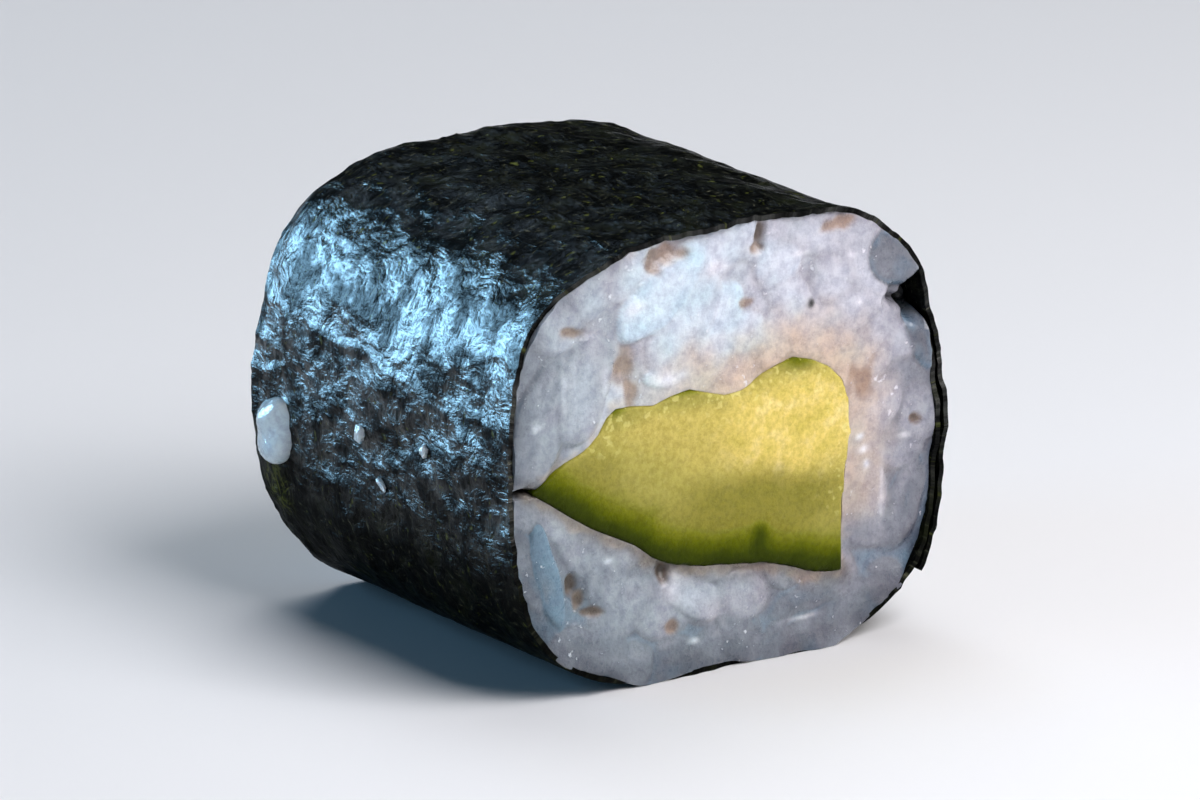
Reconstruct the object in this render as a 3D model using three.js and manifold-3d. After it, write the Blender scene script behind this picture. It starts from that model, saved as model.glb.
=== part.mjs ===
// One cut piece of a thin cucumber roll: a sheet of nori wound round sushi rice,
// with a wedge of cucumber running through the middle.
// Millimetres, +Z up. The roll lies on its side with its axis along Y, and the
// origin is under the middle of the piece, on the surface that it rests on.
import * as THREE from "three";
import { mergeVertices } from "three/addons/utils/BufferGeometryUtils.js";
import Module from "manifold-3d";

const wasm = await Module();
wasm.setup();

// ---- Driving dimensions ----
const rollWidth = 26.8; // across the nori, along X
const rollHeight = 23.8; // across the nori, along Z
const rollLength = 23; // from cut face to cut face, along Y
const squareness = 3; // 2 is an ellipse, and more is squarer
const bulgeRight = 0.008; // share by which the right side swells
const bulgeCorners = 0.008; // share by which the three-cornered squeeze shows
const restFlat = 0.25; // depth of the spot flattened by the piece's own weight
const gap = 0.3; // clearance between neighbouring solids

const nori = {
  thickness: 0.45,
  flapEdge: THREE.MathUtils.degToRad(-35), // where the sheet's outer end stops
  flapSpan: THREE.MathUtils.degToRad(50), // how far the sheet overlaps itself
  flapRamp: THREE.MathUtils.degToRad(9), // the rise over the sheet's inner end
  flapStep: THREE.MathUtils.degToRad(1.5), // the drop at the sheet's outer end
  crinkle: 0.16, // depth of the waves that the rice presses into the sheet
  waves: [ // crests round the roll, slope along it per mm, share of the depth, start
    { crests: 7, slope: 0.35, share: 0.42, start: 0 },
    { crests: 13, slope: -0.55, share: 0.33, start: 1 },
    { crests: 4, slope: 0.9, share: 0.25, start: 2 },
  ],
  calmBelow: 0.5, // the waves fade out towards the flat spot, from this high above it
  fullAbove: 3, // to this high
  ragged: 0.3, // unevenness of the knife cut at both ends
  raggedWaves: [
    { crests: 3, share: 0.6 },
    { crests: 11, share: 0.4 },
  ],
  columns: 90,
  rows: 7,
};

const rice = {
  recess: 0.8, // the packed core stops this far inside the cut faces
  grainLength: 5.4,
  grainWidth: 2.9,
  grainThickness: 2.5,
  rimGrains: 29, // grains that line the nori on each cut face
  rimDepth: 2, // how far they lie inside the nori's outer face
  pitch: 2.4, // spacing of the other grains that show
  closest: 1.7, // the nearest that two grains may lie
  jitter: 0.35, // how far a grain strays from its place
  standLeast: 0.75, // a grain stands this much to
  standMost: 1.35, // this much proud of the core
  sizeVaries: 0.12, // share by which a grain is larger or smaller
  endOnShare: 0.45, // share of the grains that point along the roll
  endOnLean: THREE.MathUtils.degToRad(35), // the most that those lean over
  lyingLean: THREE.MathUtils.degToRad(30), // the most that the others tip out of the face
  steps: 72, // sides of the core's outline
};

// The wedge on the front cut face, from the middle of the roll: the skin bows from the tip
// to the thick end, and the sides that the knife cut go back over the top.
const cucumber = {
  tip: [-12.1, -0.3],
  skinEnd: [7.2, -7.7],
  skinSag: 1.4, // how far the skin bows out past the line between its two ends
  skinSteps: 14,
  thickEnd: [[7.5, -3], [7.9, 1], [7.4, 2.8]],
  seedHump: [[6, 3.6], [4.2, 4], [2.6, 3.7], [0.6, 3]], // swells over the seeds
  topCut: [[-5.4, 3.5], [-7, 3.2]],
  shoulder: [[-8, 1.9], [-9, 1.1]], // where grains of rice press into the thin end
  bevel: 0.2, // its edges at the cut faces are this soft
  proud: 0.1, // how far the wedge stands out of each cut face
};

const restLevel = -rollHeight / 2 + restFlat; // height of the flattened spot

// ---- The roll's section ----

// Distance from the middle to the outside of a single layer of nori in one direction.
function wrapRadius(angle) {
  const across = Math.abs(Math.cos(angle)) / (rollWidth / 2);
  const up = Math.abs(Math.sin(angle)) / (rollHeight / 2);
  const rounded = (across ** squareness + up ** squareness) ** (-1 / squareness);
  return rounded * (1 + bulgeRight * Math.cos(angle) - bulgeCorners * Math.cos(3 * angle));
}

// The point of the section at an angle, a depth inside the nori's outer face.
function wrapPoint(angle, depth) {
  const radius = wrapRadius(angle) - depth;
  const x = Math.cos(angle) * radius;
  const z = Math.sin(angle) * radius;
  return [x, Math.max(z, restLevel + depth)];
}

function shapeOf(points) {
  return new THREE.Shape(points.map(([x, z]) => new THREE.Vector2(x, z)));
}

// A section drawn in X and Z, drawn out along Y between the two faces.
function drawnOut(shape, halfLength, options = {}) {
  const settings = { depth: 2 * halfLength, bevelEnabled: false, ...options };
  const geometry = new THREE.ExtrudeGeometry(shape, settings);
  geometry.translate(0, 0, -halfLength);
  geometry.rotateX(Math.PI / 2);
  return geometry;
}

// ---- Solids from meshes, and back ----

function solidOf(geometry) {
  const bare = geometry.index ? geometry.toNonIndexed() : geometry.clone();
  bare.deleteAttribute("normal");
  bare.deleteAttribute("uv");
  const merged = mergeVertices(bare, 1e-4);
  const mesh = new wasm.Mesh({
    numProp: 3,
    vertProperties: new Float32Array(merged.attributes.position.array),
    triVerts: new Uint32Array(merged.index.array),
  });
  return new wasm.Manifold(mesh);
}

function geometryOf(solid) {
  const mesh = solid.getMesh();
  const geometry = new THREE.BufferGeometry();
  geometry.setAttribute("position", new THREE.BufferAttribute(mesh.vertProperties, 3));
  geometry.setIndex(new THREE.BufferAttribute(mesh.triVerts, 1));
  geometry.computeVertexNormals();
  return geometry;
}

// The largest body, without the scraps that a cut leaves loose.
function mainBody(solid) {
  return solid.decompose().sort((a, b) => b.volume() - a.volume())[0];
}

// ---- Nori ----

// 1 over the stretch where the sheet lies on itself, and 0 elsewhere.
function overlap(turned) {
  const { smoothstep } = THREE.MathUtils;
  return 1 - smoothstep(turned, nori.flapSpan, nori.flapSpan + nori.flapRamp);
}

// Low waves in the sheet, which fade out where it lies on the flat spot.
function crinkle(angle, y) {
  const wave = ({ crests, slope, share, start }) =>
    share * Math.sin(crests * angle + slope * y + start);
  const height = Math.sin(angle) * wrapRadius(angle) - restLevel;
  const lifted = THREE.MathUtils.smoothstep(height, nori.calmBelow, nori.fullAbove);
  return nori.crinkle * lifted * nori.waves.reduce((sum, each) => sum + wave(each), 0);
}

// How far the knife cut strays along the roll.
function raggedEnd(angle, end) {
  const wave = ({ crests, share }) => share * Math.sin(crests * angle + end * crests);
  return nori.ragged * nori.raggedWaves.reduce((sum, each) => sum + wave(each), 0);
}

// The band is a closed loop of strips: out along its outer face, back along its inner one.
function noriGeometry() {
  const { columns, rows, thickness, flapEdge, flapStep } = nori;
  const around = 2 * Math.PI - flapStep;
  const stations = 2 * (rows + 1);
  const positions = [];
  for (let column = 0; column < columns; column++) {
    const turned = (around * column) / (columns - 1);
    const angle = flapEdge + turned;
    for (let station = 0; station < stations; station++) {
      const outside = station <= rows;
      const row = outside ? station : stations - 1 - station;
      const along = (2 * row) / rows - 1;
      const end = Math.sign(along);
      const y = along * (rollLength / 2 + (end ? raggedEnd(angle, end) * Math.abs(along) ** 3 : 0));
      const depth = outside ? -thickness * overlap(turned) : thickness;
      const [x, z] = wrapPoint(angle, depth - crinkle(angle, y));
      positions.push(x, y, z);
    }
  }
  const index = [];
  for (let column = 0; column < columns; column++) {
    const next = (column + 1) % columns;
    for (let station = 0; station < stations; station++) {
      const after = (station + 1) % stations;
      const [a, b] = [column * stations + station, next * stations + station];
      const [c, d] = [next * stations + after, column * stations + after];
      index.push(a, c, b, a, d, c);
    }
  }
  const geometry = new THREE.BufferGeometry();
  geometry.setAttribute("position", new THREE.Float32BufferAttribute(positions, 3));
  geometry.setIndex(index);
  geometry.computeVertexNormals();
  return geometry;
}

// ---- Cucumber ----

// The outline of the wedge, a distance outside its own surface.
function wedgeOutline(grow = 0) {
  const { tip, skinEnd, skinSag, skinSteps, thickEnd, seedHump, topCut, shoulder } = cucumber;
  const chord = [skinEnd[0] - tip[0], skinEnd[1] - tip[1]];
  const length = Math.hypot(...chord);
  const skin = Array.from({ length: skinSteps + 1 }, (_, step) => {
    const t = step / skinSteps;
    const bow = (4 * skinSag * t * (1 - t)) / length;
    return [tip[0] + chord[0] * t + bow * chord[1], tip[1] + chord[1] * t - bow * chord[0]];
  });
  return outset([...skin, ...thickEnd, ...seedHump, ...topCut, ...shoulder], grow);
}

// A closed outline, run anticlockwise, with each corner moved out square to its two sides.
function outset(points, distance) {
  return points.map(([x, z], i) => {
    const before = points[(i + points.length - 1) % points.length];
    const after = points[(i + 1) % points.length];
    const into = new THREE.Vector2(x - before[0], z - before[1]).normalize();
    const away = new THREE.Vector2(after[0] - x, after[1] - z).normalize();
    const square = new THREE.Vector2(into.y + away.y, -into.x - away.x).normalize();
    const widen = Math.min(1 / Math.max(square.dot(new THREE.Vector2(into.y, -into.x)), 0.2), 2);
    return [x + square.x * distance * widen, z + square.y * distance * widen];
  });
}

function cucumberGeometry() {
  const { bevel, proud } = cucumber;
  return drawnOut(shapeOf(wedgeOutline(-bevel)), rollLength / 2 - bevel + proud, {
    bevelEnabled: true,
    bevelThickness: bevel,
    bevelSize: bevel,
    bevelSegments: 1,
  });
}

// ---- Rice ----

// A repeatable run of numbers between 0 and 1.
function seededRandom(seed) {
  let state = seed;
  return () => {
    state = (state * 16807) % 2147483647;
    return state / 2147483647;
  };
}

function riceOutline(depth) {
  const angles = Array.from({ length: rice.steps }, (_, i) => (2 * Math.PI * i) / rice.steps);
  return angles.map((angle) => wrapPoint(angle, depth));
}

// Places for grains over the section: a ring that lines the nori, and then rows, each set
// off by half a pitch, which fill what the ring leaves.
function grainPlaces(random) {
  const stray = () => (2 * random() - 1) * rice.jitter;
  const places = [];
  for (let i = 0; i < rice.rimGrains; i++) {
    const angle = (2 * Math.PI * i) / rice.rimGrains;
    const [x, z] = wrapPoint(angle, rice.rimDepth);
    places.push([x + stray() / 2, z + stray() / 2]);
  }
  const rowPitch = (rice.pitch * Math.sqrt(3)) / 2;
  const rows = Math.ceil(rollHeight / 2 / rowPitch);
  const columns = Math.ceil(rollWidth / 2 / rice.pitch);
  for (let row = -rows; row <= rows; row++)
    for (let column = -columns; column <= columns; column++) {
      const x = (column + (row % 2 ? 0.5 : 0)) * rice.pitch + stray();
      const z = row * rowPitch + stray();
      const inside = Math.hypot(x, z) < wrapRadius(Math.atan2(z, x)) - rice.rimDepth;
      const clear = places.every(([a, b]) => Math.hypot(a - x, b - z) > rice.closest);
      if (inside && clear) places.push([x, z]);
    }
  return places;
}

// One grain, set so that its outermost point stands a given height over the core's face.
function grainSolid([x, z], end, random) {
  const endOn = random() < rice.endOnShare;
  const lean = endOn ? rice.endOnLean * random() : Math.PI / 2 - rice.lyingLean * random();
  const heading = 2 * Math.PI * random();
  const twist = Math.PI * random();
  const stand = rice.standLeast + (rice.standMost - rice.standLeast) * random();
  const half = new THREE.Vector3(rice.grainWidth, rice.grainLength, rice.grainThickness);
  half.multiplyScalar(0.5 * (1 + rice.sizeVaries * (2 * random() - 1)));
  const turn = new THREE.Matrix4().makeRotationY(heading);
  turn.multiply(new THREE.Matrix4().makeRotationX(lean));
  turn.multiply(new THREE.Matrix4().makeRotationY(twist));
  const rowY = new THREE.Vector3(turn.elements[1], turn.elements[5], turn.elements[9]);
  const extent = rowY.multiply(half).length();
  const y = end * (rollLength / 2 - rice.recess + stand - extent);
  const grain = new THREE.IcosahedronGeometry(1, 1);
  grain.scale(half.x, half.y, half.z);
  grain.applyMatrix4(turn);
  grain.translate(x, y, z);
  return solidOf(grain);
}

function riceGeometry() {
  const random = seededRandom(4207);
  const inner = nori.thickness + nori.crinkle + gap;
  const outline = shapeOf(riceOutline(inner));
  const core = solidOf(drawnOut(outline, rollLength / 2 - rice.recess));
  const bounds = solidOf(drawnOut(outline, rollLength));
  const bore = solidOf(drawnOut(shapeOf(wedgeOutline(gap)), rollLength));
  const grains = [-1, 1].flatMap((end) =>
    grainPlaces(random).map((place) => grainSolid(place, end, random)),
  );
  const mass = wasm.Manifold.union([core, ...grains]);
  return geometryOf(mainBody(mass.intersect(bounds).subtract(bore)));
}

// ---- Materials ----

const noriMaterial = new THREE.MeshStandardMaterial({ color: 0x141d1c, roughness: 0.38, metalness: 0 });
const riceMaterial = new THREE.MeshStandardMaterial({ color: 0xd8d6dc, roughness: 0.42, metalness: 0 });
const cucumberMaterial = new THREE.MeshStandardMaterial({ color: 0xb4b544, roughness: 0.35, metalness: 0 });

// ---- The piece ----

function named(name, geometry, material) {
  const mesh = new THREE.Mesh(geometry, material);
  mesh.name = name;
  return mesh;
}

const roll = new THREE.Group();
roll.add(named("nori", noriGeometry(), noriMaterial));
roll.add(named("rice", riceGeometry(), riceMaterial));
roll.add(named("cucumber", cucumberGeometry(), cucumberMaterial));
roll.position.z = -restLevel;

export default roll;
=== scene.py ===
import math

import bmesh
import bpy
import numpy as np
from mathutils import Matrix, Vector, noise


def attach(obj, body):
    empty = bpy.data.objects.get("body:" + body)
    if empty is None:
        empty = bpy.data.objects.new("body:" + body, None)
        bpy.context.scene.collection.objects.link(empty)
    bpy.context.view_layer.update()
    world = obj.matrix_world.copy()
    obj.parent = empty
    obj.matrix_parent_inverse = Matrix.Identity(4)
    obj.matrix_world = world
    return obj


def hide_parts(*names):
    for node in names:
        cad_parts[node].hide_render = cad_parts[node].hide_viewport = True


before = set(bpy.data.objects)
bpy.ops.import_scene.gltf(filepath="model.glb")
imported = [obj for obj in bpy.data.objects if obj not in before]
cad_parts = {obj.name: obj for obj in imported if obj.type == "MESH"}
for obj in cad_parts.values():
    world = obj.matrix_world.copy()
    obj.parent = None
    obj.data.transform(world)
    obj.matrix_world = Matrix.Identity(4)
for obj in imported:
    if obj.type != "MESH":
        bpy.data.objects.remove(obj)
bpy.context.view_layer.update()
mm = 0.001  # metres

# A cut piece of thin cucumber roll. Lengths are in mm until a mesh is made, and are taken from
# the middle of the roll's section, so the piece rests at restLevel.
roll = {
    "width": 26.8,
    "height": 23.8,
    "length": 23.0,
    "squareness": 3,  # 2 is an ellipse, and more is squarer
    "bulgeRight": 0.008,  # share of the radius
    "bulgeCorners": 0.008,
    "restFlat": 0.25,  # depth of the spot that the piece's own weight flattens
}
restLevel = roll["restFlat"] - roll["height"] / 2
faceAt = roll["length"] / 2  # the two cut faces are this far from the middle
seedStep = 17.3  # lumps between the parts of the noise that two seeds read


def smoothStep(value, low, high):
    share = np.clip((value - low) / (high - low), 0, 1)
    return share * share * (3 - 2 * share)


def lumps(points, size, seed):  # smooth noise of about -1 to 1, with lumps this many mm across
    moved = np.asarray(points) / size + seedStep * seed
    values = [noise.noise(point) for point in moved.reshape(-1, 3).tolist()]
    return np.array(values).reshape(moved.shape[:-1])


def layered(points, layers):  # noise at several sizes, from the size, height and seed of each
    return sum(height * lumps(points, size, seed) for size, height, seed in layers)


def wrapRadius(angle):  # from the middle to the outside of one layer of nori
    across = np.abs(np.cos(angle)) / (roll["width"] / 2)
    up = np.abs(np.sin(angle)) / (roll["height"] / 2)
    power = roll["squareness"]
    rounded = (across**power + up**power) ** (-1 / power)
    return rounded * (1 + roll["bulgeRight"] * np.cos(angle) - roll["bulgeCorners"] * np.cos(3 * angle))


def wrapPlace(angle, depth, y):  # a point this deep inside the nori's outer face
    radius = wrapRadius(angle) - depth
    z = np.maximum(np.sin(angle) * radius, restLevel + np.maximum(depth, 0))
    return np.stack([np.cos(angle) * radius, y + 0 * angle, z], axis=-1)


def makePiece(name, points, faces):
    mesh = bpy.data.meshes.new(name)
    places = (np.asarray(points) - [0, 0, restLevel]) * mm
    mesh.from_pydata(places.tolist(), [], faces)
    mesh.shade_smooth()
    piece = bpy.data.objects.new(name, mesh)
    bpy.context.scene.collection.objects.link(piece)
    return piece


def quads(index):  # the faces of a grid of point numbers
    corners = (index[:-1, :-1], index[1:, :-1], index[1:, 1:], index[:-1, 1:])
    return np.stack(corners, axis=-1).reshape(-1, 4).tolist()


def pointsOf(piece):  # in mm from the middle of the section
    flat = np.empty(len(piece.data.vertices) * 3)
    piece.data.vertices.foreach_get("co", flat)
    return flat.reshape(-1, 3) / mm + [0, 0, restLevel]


def movePoints(piece, points):
    piece.data.vertices.foreach_set("co", ((points - [0, 0, restLevel]) * mm).ravel())
    piece.data.update()


def keepValues(piece, name, values):  # a number or a vector for each point, for the material to read
    kind = "FLOAT" if np.ndim(values) == 1 else "FLOAT_VECTOR"
    attribute = piece.data.attributes.new(name, kind, "POINT")
    field = "value" if kind == "FLOAT" else "vector"
    attribute.data.foreach_set(field, np.asarray(values, np.float32).ravel())


def faceOutwards(piece):
    shell = bmesh.new()
    shell.from_mesh(piece.data)
    bmesh.ops.recalc_face_normals(shell, faces=shell.faces)
    shell.to_mesh(piece.data)
    shell.free()


def linear(hexColour):  # sRGB hex to the linear colour that a shader takes
    channels = [int(hexColour[i : i + 2], 16) / 255 for i in (1, 3, 5)]
    return [c / 12.92 if c <= 0.04045 else ((c + 0.055) / 1.055) ** 2.4 for c in channels] + [1]


def newMaterial(name, shader):  # shader holds what is the same all over the surface
    material = bpy.data.materials.new(name)
    material.use_nodes = True
    principled = material.node_tree.nodes["Principled BSDF"]
    for socket, value in shader.items():
        principled.inputs[socket].default_value = value
    return material, principled


def addNode(material, kind, settings=(), inputs=(), stops=()):
    node = material.node_tree.nodes.new("ShaderNode" + kind)
    for name, value in dict(settings).items():
        setattr(node, name, value)
    for name, value in dict(inputs).items():
        if isinstance(value, bpy.types.NodeSocket):
            material.node_tree.links.new(value, node.inputs[name])
        else:
            node.inputs[name].default_value = value
    for i, (place, colour) in enumerate(stops):
        elements = node.color_ramp.elements
        element = elements[i] if i < 2 else elements.new(place)
        element.position = place
        element.color = linear(colour)
    return node


def feed(material, socket, shaderInput):
    material.node_tree.links.new(socket, shaderInput)


view = {
    "azimuth": -35.3,  # degrees, and 0 looks along the roll at its front cut face
    "elevation": 16.3,
    "distance": 468,  # mm
    "lens": 272,  # mm on a 36 mm sensor
    "aim": (0.3, 0, -0.2),  # mm from the middle of the piece
    "clip": (10 * mm, 20),  # metres
}


def towards(azimuth, elevation):
    a, e = math.radians(azimuth), math.radians(elevation)
    return Vector((math.sin(a) * math.cos(e), -math.cos(a) * math.cos(e), math.sin(e)))


def lookAt(item, place, target):
    item.location = place
    item.rotation_euler = (target - place).to_track_quat("-Z", "Y").to_euler()


middle = Vector((0, 0, -restLevel * mm))
camera = bpy.data.objects.new("camera", bpy.data.cameras.new("camera"))
camera.data.lens = view["lens"]
camera.data.clip_start, camera.data.clip_end = view["clip"]
bpy.context.scene.collection.objects.link(camera)
bpy.context.scene.camera = camera
target = middle + Vector(view["aim"]) * mm
lookAt(camera, target + towards(view["azimuth"], view["elevation"]) * view["distance"] * mm, target)

lamps = {  # direction in degrees, distance and size in mm, power in watts
    "keySoftbox": ((16, 48), 270, (170, 170), 0.85, "#fdfbff"),
    "sheenCard": ((-147, 16), 560, (320, 330), 15, "#9ad2f8"),
    "sideCard": ((-115, 25), 600, (300, 300), 0.8, "#8ccaf8"),
    "ridgeCard": ((165, 45), 500, (110, 110), 0.12, "#c4e0ff"),
    "fillCard": ((50, 28), 600, (500, 500), 0.5, "#fff0e4"),
    "backCard": ((150, 62), 600, (400, 400), 1.6, "#f6f8fc"),
    "glitterCard": ((36, 10), 400, (90, 90), 0.12, "#ffffff"),
}
onlyGloss = ("sheenCard",)  # these give reflections without lighting the floor
onlyMatt = ("backCard",)  # these light what is matt without showing in the gloss
for name, (direction, distance, size, power, colour) in lamps.items():
    light = bpy.data.lights.new(name, "AREA")
    light.shape = "RECTANGLE"
    light.size, light.size_y = (side * mm for side in size)
    light.energy = power
    light.color = linear(colour)[:3]
    holder = bpy.data.objects.new(name, light)
    holder.visible_diffuse = name not in onlyGloss
    holder.visible_glossy = name not in onlyMatt
    bpy.context.scene.collection.objects.link(holder)
    lookAt(holder, middle + towards(*direction) * distance * mm, middle)

studio = {
    "walls": "#c8ccd2",
    "wallGlow": 0.04,
    "card": "#dcdcdc",
    "cardReach": 4,  # metres from the middle to each edge of the floor
}
world = bpy.data.worlds.new("studio")
world.use_nodes = True
background = world.node_tree.nodes["Background"]
background.inputs["Color"].default_value = linear(studio["walls"])
background.inputs["Strength"].default_value = studio["wallGlow"]
bpy.context.scene.world = world
bpy.context.scene.view_settings.view_transform = "Standard"

reach = studio["cardReach"]
floorMesh = bpy.data.meshes.new("floor")
corners = [(-reach, -reach, 0), (reach, -reach, 0), (reach, reach, 0), (-reach, reach, 0)]
floorMesh.from_pydata(corners, [], [(0, 1, 2, 3)])
floor = bpy.data.objects.new("floor", floorMesh)
bpy.context.scene.collection.objects.link(floor)
# Pale card, matt all over, so the floor shows no reflections.
floorMaterial, _ = newMaterial(
    "paleMattCard", {"Roughness": 0.9, "Specular IOR Level": 0, "Base Color": linear(studio["card"])}
)
floor.data.materials.append(floorMaterial)
print("camera, lamps and floor are in place")

nori = {
    "thickness": 0.28,
    "flapEdge": math.radians(-35),  # where the sheet's outer end stops
    "flapSpan": math.radians(50),  # how far the sheet overlaps itself
    "flapRamp": math.radians(9),
    "flapRise": 0.45,  # the outer layer lies this far out over the inner one
    "crinkle": 0.16,  # height of the long waves
    "waves": [  # crests round the roll, slope, share, start
        (7, 0.35, 0.42, 0),
        (13, -0.55, 0.33, 1),
        (4, 0.9, 0.25, 2),
    ],
    "calmBelow": 0.5,  # the sheet is pressed smooth up to this height
    "fullAbove": 3,
    "ragged": 0.3,
    "raggedWaves": [(3, 0.6), (11, 0.4)],  # crests, share
    "chewed": 0.16,
    "chewedSize": 1.1,
    "endPull": 3,  # more keeps the ragged ends out of the rest of the mesh
    # where the back end stands over the rice, and how far
    "lip": {"angle": math.radians(165), "reach": math.radians(45), "length": 0.7},
    # a thin spot in the sheet: where round the roll and along it, and half its size
    "thinSpot": {"angle": math.radians(201), "y": 10.2, "reach": (math.radians(6.5), 1.2)},
    "pressed": 0.15,  # depth of the dimples between the grains under it
    "dimples": [(2.6, 0.7, 1), (1.2, 0.3, 2)],  # size, share, seed
    "creases": 0.1,
    "creaseSize": 1.9,
    "creaseSharpness": 5,
    "fineSize": 0.6,
    "fineShare": 0.55,
    "wander": 1.2,  # how far the creases stray, and over what distance
    "wanderSize": 3,
    "pinch": 0.5,  # the back end draws in by this much
    "pinchLength": 1.8,
    "pinchPast": 0.8,
    "pinchCurve": 1.5,
    "pinchUneven": 0.25,
    "pinchCrests": 5,
    "columnSpacing": 0.18,  # between the points of the mesh, round the roll
    "rowSpacing": 0.18,
    "innerEvery": 8,  # the inner face has a row for this many of the outer face's
    "sharpAngle": math.radians(55),
}
meanRadius = 12.9  # turns an angle round the roll into mm of sheet


def lifted(angle):  # 0 where the sheet lies on the flat spot, and 1 well above it
    height = np.sin(angle) * wrapRadius(angle) - restLevel
    return smoothStep(height, nori["calmBelow"], nori["fullAbove"])


def broadRelief(angle, y):  # the waves and the drawn-in end, which the rice under the sheet shares
    waves = 0
    for crests, slope, share, start in nori["waves"]:
        waves = waves + share * np.sin(crests * angle + slope * y + start)
    nearEnd = smoothStep(y, faceAt - nori["pinchLength"], faceAt + nori["pinchPast"])
    uneven = nori["pinchUneven"] * np.sin(nori["pinchCrests"] * angle + 1)
    drawnIn = nearEnd ** nori["pinchCurve"] * (1 - nori["pinchUneven"] + uneven)
    return (nori["crinkle"] * waves - nori["pinch"] * drawnIn) * lifted(angle)


def raggedEnd(angle, end):  # how far the sheet's end stands out of the flat cut, end being -1 or 1
    nicks = sum(share * np.sin(crests * angle + end * crests) for crests, share in nori["raggedWaves"])
    edge = np.stack([angle * meanRadius, 0.5 * end + 0 * angle, 0 * angle], axis=-1)
    return nori["ragged"] * nicks + nori["chewed"] * lumps(edge, nori["chewedSize"], 6)


def noriRelief(angle, y):
    flat = wrapPlace(angle, 0, y)
    pressed = layered(flat, nori["dimples"])
    sheet = np.stack([angle * meanRadius, y, 0 * y], axis=-1)
    bent = sheet + nori["wander"] * lumps(sheet, nori["wanderSize"], 3)[..., None]
    folds = 1 - np.abs(lumps(bent * [1, 0.5, 1], nori["creaseSize"], 4))  # longer along the roll
    fine = lumps(bent * [1.3, 0.6, 1], nori["fineSize"], 5)
    creases = folds ** nori["creaseSharpness"] + nori["fineShare"] * fine
    relief = nori["pressed"] * pressed + nori["creases"] * creases
    return broadRelief(angle, y) + relief * lifted(angle)


def buildNori():
    sweep = 2 * math.pi + nori["flapSpan"]
    every = nori["innerEvery"]
    columns = round(sweep * meanRadius / nori["columnSpacing"])
    rows = every * round(roll["length"] / nori["rowSpacing"] / every)
    turned, along = np.meshgrid(np.linspace(0, sweep, columns), np.linspace(-1, 1, rows + 1), indexing="ij")
    angle = nori["flapEdge"] + turned
    end = np.sign(along)
    lip = nori["lip"]
    stands = lip["length"] * np.exp(-(((angle - lip["angle"]) / lip["reach"]) ** 2)) * (end > 0)
    y = along * (faceAt + (raggedEnd(angle, end) + stands) * np.abs(along) ** nori["endPull"])
    over = nori["flapRise"] * (1 - smoothStep(turned, nori["flapSpan"], nori["flapSpan"] + nori["flapRamp"]))
    relief = noriRelief(angle, y)
    outer = wrapPlace(angle, -over - relief, y)
    inner = wrapPlace(angle, nori["thickness"] - over - relief, y)[:, ::every]
    outerAt = np.arange(outer[..., 0].size).reshape(outer.shape[:2])
    innerAt = np.arange(inner[..., 0].size).reshape(inner.shape[:2]) + outerAt.size
    faces = quads(outerAt) + quads(innerAt.T)
    faces += quads(np.stack([outerAt[:, 0], innerAt[:, 0]]))
    faces += quads(np.stack([innerAt[:, -1], outerAt[:, -1]]))
    for row in range(rows // every):  # the sheet's two cut edges, along the roll
        run = slice(every * row, every * (row + 1) + 1)
        first = np.append(outerAt[0, run], innerAt[0, row : row + 2][::-1])
        last = np.append(outerAt[-1, run][::-1], innerAt[-1, row : row + 2])
        faces += [first.tolist(), last.tolist()]
    piece = makePiece("noriSheet", np.concatenate([outer.reshape(-1, 3), inner.reshape(-1, 3)]), faces)
    piece.data.set_sharp_from_angle(angle=nori["sharpAngle"])
    sheet = np.stack([turned * meanRadius, y, 0 * y], axis=-1)
    keepValues(piece, "sheet", np.concatenate([sheet.reshape(-1, 3), sheet[:, ::every].reshape(-1, 3)]))
    spot = nori["thinSpot"]
    off = ((angle - spot["angle"]) / spot["reach"][0]) ** 2 + ((y - spot["y"]) / spot["reach"][1]) ** 2
    thin = np.exp(-(off**2))
    keepValues(piece, "thin", np.concatenate([thin.ravel(), thin[:, ::every].ravel()]))
    return piece


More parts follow.
